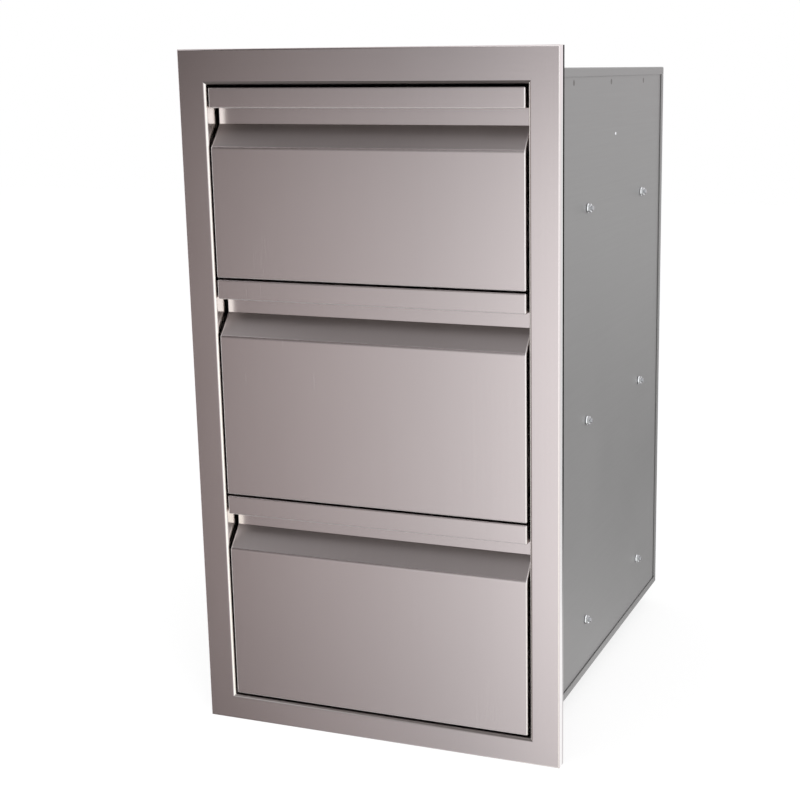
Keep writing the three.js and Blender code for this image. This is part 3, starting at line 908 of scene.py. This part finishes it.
welds_a_side = 3
weld_setback = 0.1296
weld_pitch = 0.1341
weld_drop = 0.0132
weld_radius = 0.0029
weld_rise = 0.00006
rivet_setback = 0.2815
rivet_drop = 0.0677
rivet_radius = 0.0017
rivet_height = 0.0008
panel_flange = 0.0115


def weld_mark():
    """Rings of a flat disc with a raised rim and a lower middle."""
    profile = [(0, 1.0), (1, 0.93), (1, 0.72), (0.35, 0.6), (0.3, 0.08)]
    rise, share = np.array(profile).T[:, :, None] + np.zeros(turn.shape)
    return rise * weld_rise, share * weld_radius


def rivet_head():
    """Rings of a dome, whose height is the root of one less the square of the radius's share."""
    shares = np.array([1.0, 0.97, 0.9, 0.78, 0.6, 0.4, 0.2, 0.05])[:, None] + np.zeros(turn.shape)
    return rivet_height * np.sqrt(1 - shares ** 2), rivet_radius * shares


weld_steel = mill_finish("welded_spot", (0.15, 0.142, 0.137), 0.4)
for side, sign in unit_sides:
    panel_name = side + "_side_panel"
    panel_low, panel_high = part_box(panel_name)
    outer_face = max(abs(panel_low.x), abs(panel_high.x)) - panel_flange
    weld_top = panel_high.z - weld_drop
    marks = []
    for count in range(welds_a_side):
        weld_foot = (sign * outer_face, panel_low.y + weld_setback + count * weld_pitch, weld_top)
        marks.append(set_on(weld_foot, (sign, 0, 0), (0, 1, 0), *weld_mark()))
    welds = skinned(side + "_weld_marks", marks, weld_steel, capped=True)
    rivet_foot = (sign * outer_face, panel_low.y + rivet_setback, panel_high.z - rivet_drop)
    rivet = skinned(side + "_side_rivet", [
        set_on(rivet_foot, (sign, 0, 0), (0, 1, 0), *rivet_head()),
    ], nut_zinc, capped=True)
    for mark, slot in ((welds, "cabinet_steel"), (rivet, "bright_zinc")):
        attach(mark, nodes[panel_name]["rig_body"])

# Tray screws
# Low pan-head screws with a cross recess fix each tray to its slides, through the sides, and the
# drawer front to the tray, through the tray's front wall.

screw_radius = 0.0039
screw_edge = 0.00035
screw_height = 0.001
recess_depth = 0.0007
recess_arm = 0.0019
recess_half_width = 0.00042
recess_blend = 0.00018
screw_steps = 48
top_rings = 15
outermost_top, innermost_top = 0.98, 0.04
rail_hole_shares = (0.09, 0.41, 0.89)
tray_wall = 0.001
seat_gap = 0.0003
front_screw_across = 0.112
front_screw_inset = 0.032


def pan_head():
    """Rings of a screw head. The top falls with the cube of the radius's share, and a cross is sunk
    where one offset from the middle is within the arm's width and the other within its length."""
    top_shares = np.linspace(outermost_top, innermost_top, top_rings)
    share = np.concatenate([[1.0, 1.0], top_shares])[:, None]
    angle = np.linspace(0, 2 * math.pi, screw_steps, endpoint=False)[None, :]
    top = screw_edge + (screw_height - screw_edge) * (1 - share ** 3)
    offsets = screw_radius * share * np.stack([np.abs(np.cos(angle)), np.abs(np.sin(angle))])
    narrow, wide = offsets.min(axis=0), offsets.max(axis=0)
    within_width = np.clip((recess_half_width - narrow) / recess_blend + 0.5, 0, 1)
    within_length = np.clip((recess_arm - wide) / recess_blend + 0.5, 0, 1)
    heights = top - recess_depth * within_width * within_length
    heights[0] = 0
    return heights, screw_radius * share + np.zeros(angle.shape)


screw_zinc = mill_finish("plated_screw", (0.62, 0.625, 0.63), 0.28)
for level in levels:
    tray_low, tray_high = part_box(level + "_tray")
    front_name = level + "_drawer_front"
    heads = []
    for side, sign in unit_sides:
        rail_low, rail_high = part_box(level + "_" + side + "_slide_inner_rail")
        wall_face = min(abs(rail_low.x), abs(rail_high.x))
        for share in rail_hole_shares:
            foot = (
                sign * (wall_face - seat_gap - tray_wall),
                rail_low.y + share * (rail_high.y - rail_low.y),
                (rail_low.z + rail_high.z) / 2,
            )
            heads.append(set_on(foot, (-sign, 0, 0), (0, 1, 0), *pan_head()))
        for height in (tray_low.z + front_screw_inset, tray_high.z - front_screw_inset):
            foot = (sign * front_screw_across, tray_low.y + tray_wall, height)
            heads.append(set_on(foot, (0, 1, 0), (1, 0, 0), *pan_head()))
    screws = skinned(level + "_tray_screws", heads, screw_zinc, capped=True)
    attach(screws, nodes[front_name]["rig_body"])
